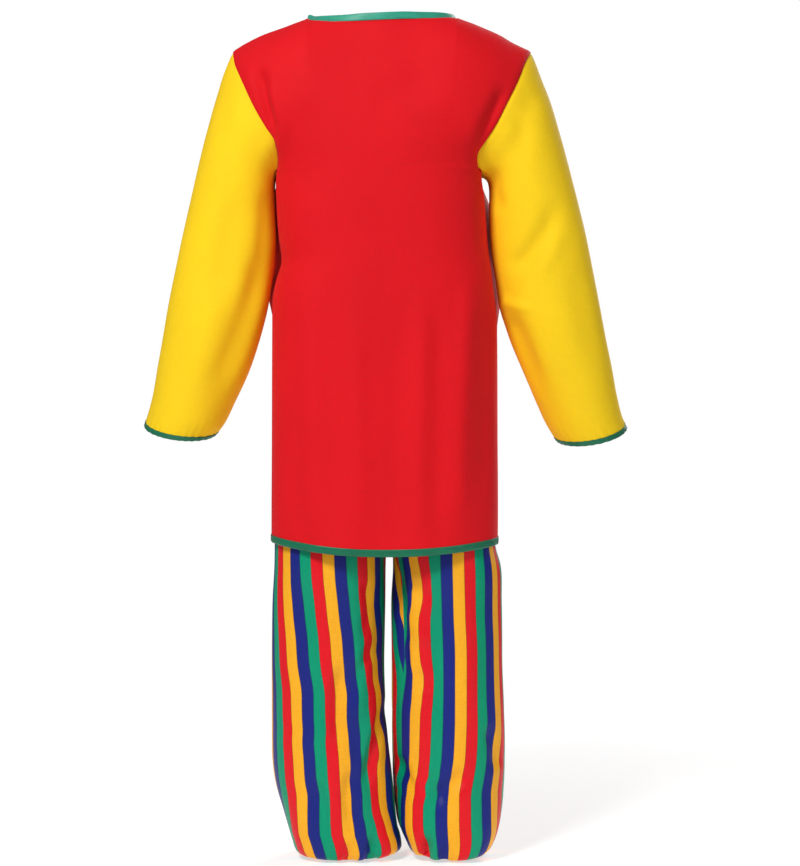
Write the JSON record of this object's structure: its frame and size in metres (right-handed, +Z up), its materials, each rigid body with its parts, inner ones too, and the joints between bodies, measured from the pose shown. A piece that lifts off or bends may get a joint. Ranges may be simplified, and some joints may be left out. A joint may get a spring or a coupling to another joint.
{
  "type": "clown costume",
  "caption": "Hollow worn clown costume: hip-length tunic with long contrast sleeves and bound edges, over striped trousers that blouse over elastic ankles.",
  "frame": {"origin": "the neck's base between the shoulders, where the wearer holds the costume up", "axes": "+Z up; the costume's back faces -Y and the wearer looks along +Y, so the wearer's left is at -X"},
  "size_m": [0.6126, 0.2046, 1.0464],
  "materials": {
    "tunic_cloth": "matte red plain-woven polyester",
    "sleeve_cloth": "matte yellow plain-woven polyester",
    "binding": "green bias tape with a slight sheen",
    "trouser_cloth": "satin with upright green, red, yellow and blue stripes"
  },
  "bodies": {
    "root": {"tunic_back": "tunic_cloth", "tunic_front": "tunic_cloth", "sleeve_left": "sleeve_cloth", "sleeve_right": "sleeve_cloth", "neck_binding": "binding", "hem_binding": "binding", "cuff_binding_left": "binding", "cuff_binding_right": "binding", "trouser_leg_left": "trouser_cloth", "trouser_leg_right": "trouser_cloth"}
  },
  "joints": []
}
